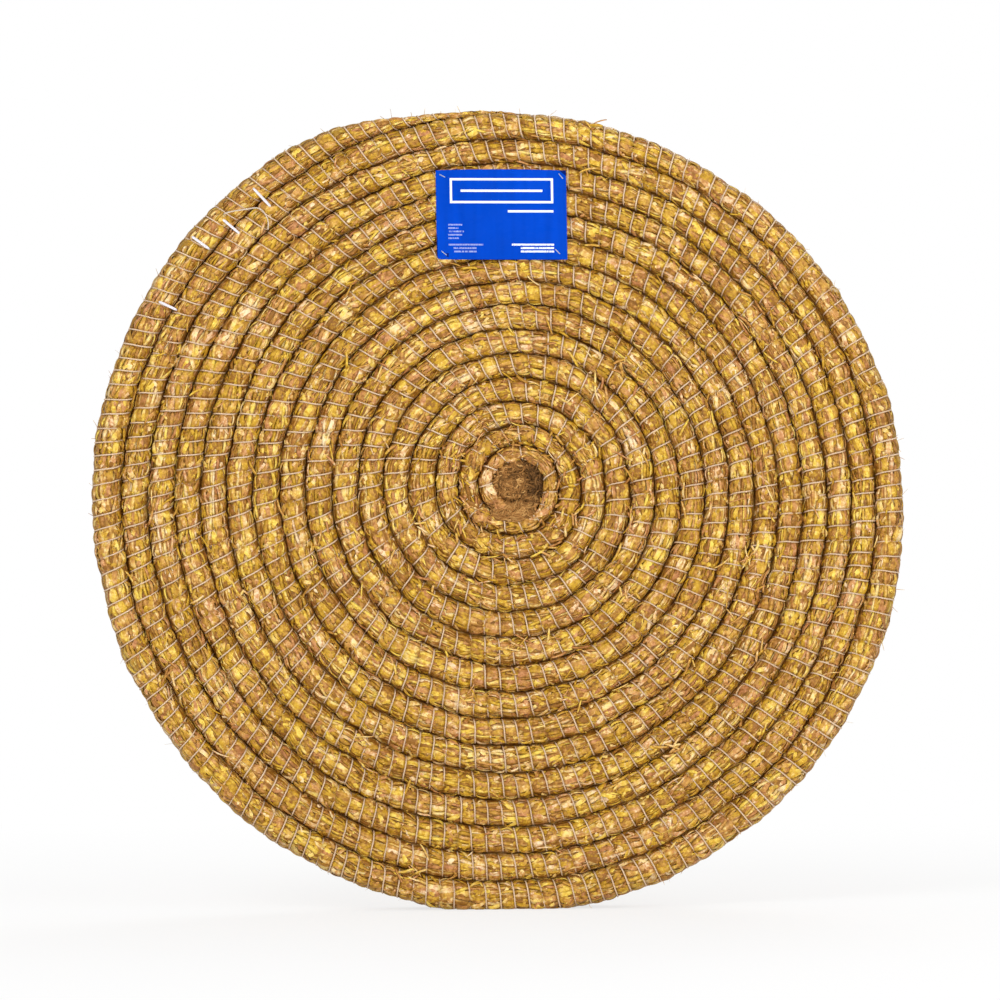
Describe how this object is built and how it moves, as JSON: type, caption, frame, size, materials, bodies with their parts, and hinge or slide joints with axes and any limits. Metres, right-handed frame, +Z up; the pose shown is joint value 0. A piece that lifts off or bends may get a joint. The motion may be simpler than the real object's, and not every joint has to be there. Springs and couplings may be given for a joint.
{
  "type": "archery target boss",
  "caption": "Round archery target boss: straw rope wound on edge into a flat disc, lashed turn to turn with twine, with a packed centre plug and a plain label stapled to its face.",
  "frame": {"origin": "on the ground under the middle of the boss as it stands on its rim: the middle, in width and in depth, of everything but the loose twine tail, at the height of the rim's flat foot", "axes": "+Z up, the face that is shot at looks along -Y, +X to the right of someone who looks at the face; the disc's axis is along Y"},
  "size_m": [1.2806, 0.1048, 1.2677],
  "materials": {
    "straw": "dry, matte to satin golden straw laid along the rope",
    "packed_straw": "dark, tightly pressed straw ends",
    "twine": "pale twisted polypropylene twine, slightly satin",
    "anchor_cord": "near-white braided cord, satin",
    "label_film": "bright blue plastic film, semi-gloss, lightly wrinkled",
    "staple_wire": "flat galvanised staple wire"
  },
  "bodies": {
    "root": {"straw_coil": "straw", "core_plug": "packed_straw", "binding_twine": "twine", "twine_tail": "twine", "anchor_stitch_1": "anchor_cord", "anchor_stitch_2": "anchor_cord", "anchor_stitch_3": "anchor_cord", "anchor_stitch_4": "anchor_cord", "label_sheet": "label_film", "staple_top_left": "staple_wire", "staple_top_right": "staple_wire", "staple_bottom_left": "staple_wire", "staple_bottom_right": "staple_wire"}
  },
  "joints": []
}
